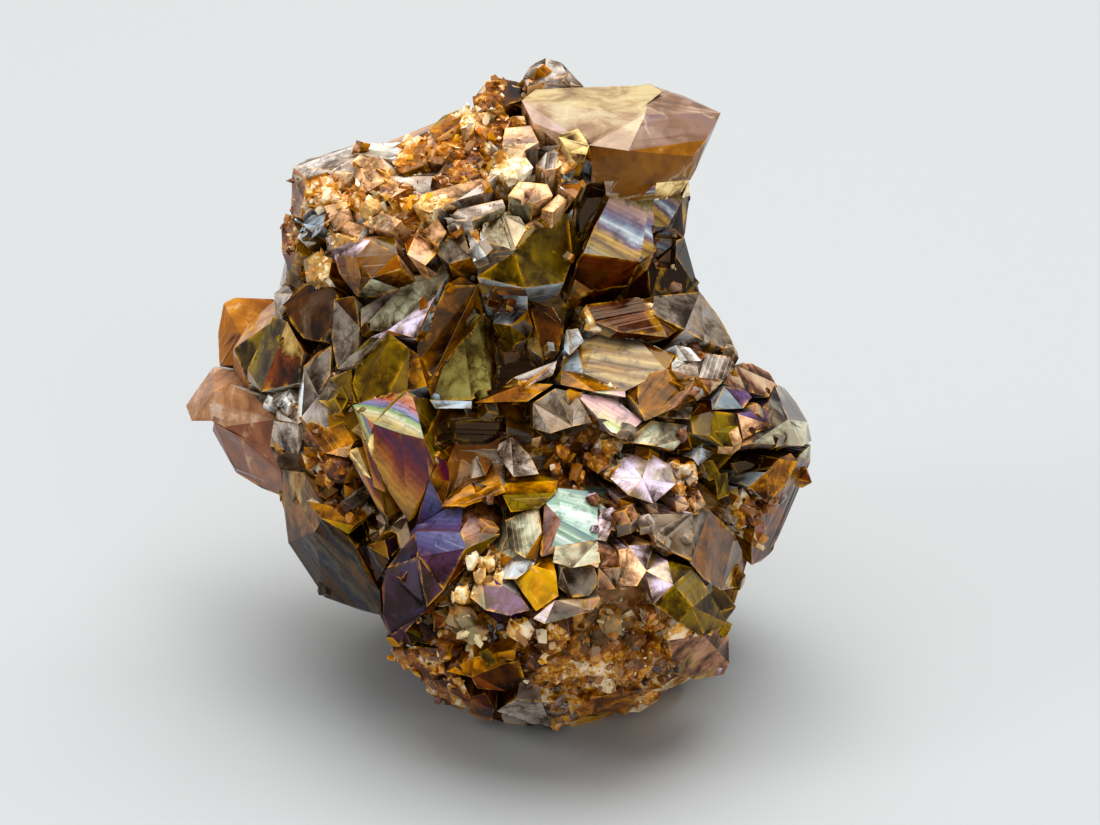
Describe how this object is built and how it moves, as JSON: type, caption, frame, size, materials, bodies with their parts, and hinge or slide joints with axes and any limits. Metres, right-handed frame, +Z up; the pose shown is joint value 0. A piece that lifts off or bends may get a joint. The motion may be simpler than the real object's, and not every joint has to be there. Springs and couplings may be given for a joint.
{
  "type": "rainbow garnet specimen",
  "caption": "Natural cluster of intergrown iridescent brown garnet crystals, with flat striated faces, pits and crusts, resting on a small flat.",
  "frame": {"origin": "middle of the bounding box's underside, on the level that the cluster rests on", "axes": "+Z up, +X to the right of the face that the picture shows, -Y towards the viewer"},
  "size_m": [0.0226, 0.0222, 0.0208],
  "materials": {
    "garnet": "glassy natural crystal faces, brown to olive and amber with thin iridescent bands, and dull ochre crusts between them"
  },
  "bodies": {
    "root": {"garnet_cluster": "garnet"}
  },
  "joints": []
}
